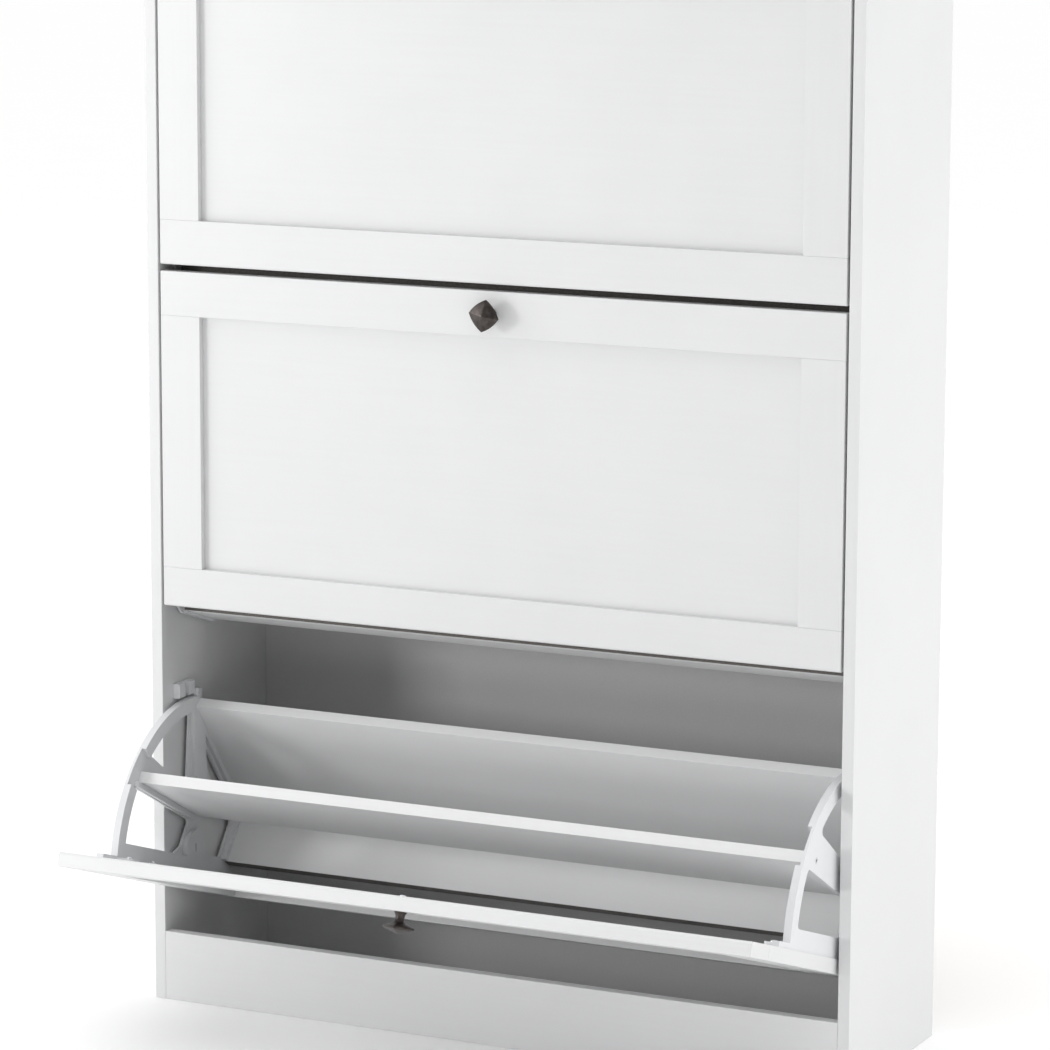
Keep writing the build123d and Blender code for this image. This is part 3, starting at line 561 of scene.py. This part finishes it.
def ring_radius(angle, radius, squareness):
    """Distance from the middle of a ring that is part circle, part square with arcs for sides."""
    off_side = angle % (pi / 2) - pi / 4
    to_arc = sqrt(ARC_RADIUS**2 - (ARC_CENTRE * sin(off_side)) ** 2)
    square = ARC_CENTRE * cos(off_side) + to_arc
    round_share = 1.0 - squareness * (1.0 - SIDE_BOW) / 2
    return radius * ((1 - squareness) * round_share + squareness * square)


def knob_mesh():
    """The knob standing on the XY plane, its head up, in metres."""
    mesh = bmesh.new()
    rings = []
    for height, radius, squareness in KNOB_PROFILE:
        ring = []
        for step in range(RING_POINTS):
            angle = 2 * pi * step / RING_POINTS
            reach = ring_radius(angle, radius, squareness) * MM
            ring.append(mesh.verts.new((reach * cos(angle), reach * sin(angle), height * MM)))
        rings.append(ring)
    for lower, upper in zip(rings, rings[1:]):
        for step in range(RING_POINTS):
            after = (step + 1) % RING_POINTS
            mesh.faces.new((lower[step], lower[after], upper[after], upper[step]))
    apex = mesh.verts.new((0, 0, APEX_HEIGHT * MM))
    for step in range(RING_POINTS):
        mesh.faces.new((rings[-1][step], rings[-1][(step + 1) % RING_POINTS], apex))
    mesh.faces.new(list(reversed(rings[0])))
    for face in mesh.faces:
        face.smooth = len(face.verts) < RING_POINTS
    for lower, upper in zip(rings[RIM_RING:], rings[RIM_RING + 1:]):
        for corner in range(0, RING_POINTS, RING_POINTS // CORNERS):
            mesh.edges.get((lower[corner], upper[corner])).smooth = False
    data = bpy.data.meshes.new("knob")
    mesh.to_mesh(data)
    mesh.free()
    return data


print(len(KNOB_PROFILE), "rings of", RING_POINTS, "points, ridges from ring", RIM_RING)

# %% [markdown]
# ## Knobs in their places
#
# Each knob goes where its CAD node is. A place could be typed in for each, but the node's own
# corners, measured along the flap's three directions, give the middle of the stem's foot however
# the flap lies. The knob is turned a little on its screw, as such knobs end up when the screw is
# tightened.

# %% Put a knob on every flap
KNOB_TURN = radians(-9.0)


def spread_along(node, direction):
    """Lowest and highest place of a CAD node along a direction."""
    places = [vertex.co.dot(direction) for vertex in nodes[node].data.vertices]
    return min(places), max(places)


for flap in FLAPS:
    across, up, out = flap_directions(flap)
    node = f"{flap}_knob"
    foot = across * (sum(spread_along(node, across)) / 2)
    foot += up * (sum(spread_along(node, up)) / 2)
    foot += out * spread_along(node, out)[0]
    knob = bpy.data.objects.new(f"{flap}_cast_knob", knob_mesh())
    bpy.context.scene.collection.objects.link(knob)
    knob.data.materials.append(bronze)
    axes = Matrix((across, up, out)).transposed().to_4x4()
    knob.matrix_world = Matrix.Translation(foot) @ axes @ Matrix.Rotation(KNOB_TURN, 4, "Z")
    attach(knob, f"{flap}_flap")
    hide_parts(node)
    print(knob.name, "foot at", [round(v, 4) for v in foot])

# %% [markdown]
# ## Floor
#
# The cabinet stands on a plain white floor that runs out of sight. A small floor would show its
# edge behind the cabinet, and a curved backdrop would need its own shape. A very wide disc needs
# neither, and its tone drifts so slightly that only the shadow on it is seen.

# %% Floor
FLOOR_REACH = 60.0
FLOOR_DEEP = same(0.97)
FLOOR_PALE = same(0.985)
floor_shape = bmesh.new()
bmesh.ops.create_circle(floor_shape, cap_ends=True, segments=64, radius=FLOOR_REACH)
floor_data = bpy.data.meshes.new("floor")
floor_shape.to_mesh(floor_data)
floor_shape.free()
floor = bpy.data.objects.new("floor", floor_data)
bpy.context.scene.collection.objects.link(floor)
floor_finish, floor_tree, floor_shader = new_finish("pale_floor")
floor_tone = blend_tones(floor_tree, speckle(floor_tree, same(3.0)), FLOOR_DEEP, FLOOR_PALE)
floor_tree.links.new(floor_tone, floor_shader.inputs["Base Color"])
floor_shader.inputs["Roughness"].default_value = 0.9
floor_shader.inputs["Specular IOR Level"].default_value = 0.1
floor.data.materials.append(floor_finish)
print("floor", 2 * FLOOR_REACH, "m across")

# %% [markdown]
# ## Light of the room
#
# A white room gives much of the light, and it is brighter overhead than at the walls, as a
# studio with a pale ceiling is. The same light from every side would be simpler, but it would
# leave the inside of the open bin nearly as bright as the doors. Here what the boards hide from
# the ceiling falls into shade. The colours are shown plainly, with no film-like curve, so a white
# board stays white.

# %% Room
WALL_LIGHT = 0.34
CEILING_LIGHT = 0.92
world = bpy.data.worlds.new("white_room")
world.use_nodes = True
room = world.node_tree
looking = room.nodes.new("ShaderNodeTexCoord")
heading = room.nodes.new("ShaderNodeSeparateXYZ")
room.links.new(looking.outputs["Generated"], heading.inputs["Vector"])
rising = between(room, heading.outputs["Z"], WALL_LIGHT, CEILING_LIGHT, start=0.0, end=1.0)
room.nodes["Background"].inputs["Color"].default_value = (1, 1, 1, 1)
room.links.new(rising, room.nodes["Background"].inputs["Strength"])
bpy.context.scene.world = world
bpy.context.scene.view_settings.view_transform = "Standard"
print("room light", WALL_LIGHT, "at the walls,", CEILING_LIGHT, "overhead")

# %% [markdown]
# ## Lamps
#
# Four lamps add direction to the room's light. A small one, low at the left front, gives the
# knobs their shadow and the brackets their shape. A larger one further round to the left is what
# the knobs' facets mirror, and a large one set back on the right opens up the side. The last is a
# very wide sky straight above, made as a sun because it lights the whole floor alike: a sun has
# no place, only a direction, and unturned it shines straight down.

# %% Lamps
LAMP_TARGET = (0.0, 0.0, 0.6)
SKY_STRENGTH = 0.95
SKY_WIDTH = radians(70)


def softbox(name, place, width, watts):
    """A square area lamp that faces the middle of the cabinet."""
    lamp_data = bpy.data.lights.new(name, "AREA")
    lamp_data.size = width
    lamp_data.energy = watts
    lamp = bpy.data.objects.new(name, lamp_data)
    lamp.location = place
    towards_cabinet = Vector(LAMP_TARGET) - Vector(place)
    lamp.rotation_euler = towards_cabinet.to_track_quat("-Z", "Y").to_euler()
    bpy.context.scene.collection.objects.link(lamp)
    print(name, round(towards_cabinet.length, 2), "m away,", watts, "W")


softbox("left_front_lamp", place=(-2.75, -2.75, 1.0), width=0.9, watts=40.0)
softbox("left_lamp", place=(-3.6, -1.5, 1.6), width=1.6, watts=30.0)
softbox("right_lamp", place=(3.5, 0.9, 1.2), width=2.0, watts=38.0)
skylight_data = bpy.data.lights.new("skylight", "SUN")
skylight_data.energy = SKY_STRENGTH
skylight_data.angle = SKY_WIDTH
skylight = bpy.data.objects.new("skylight", skylight_data)
bpy.context.scene.collection.objects.link(skylight)
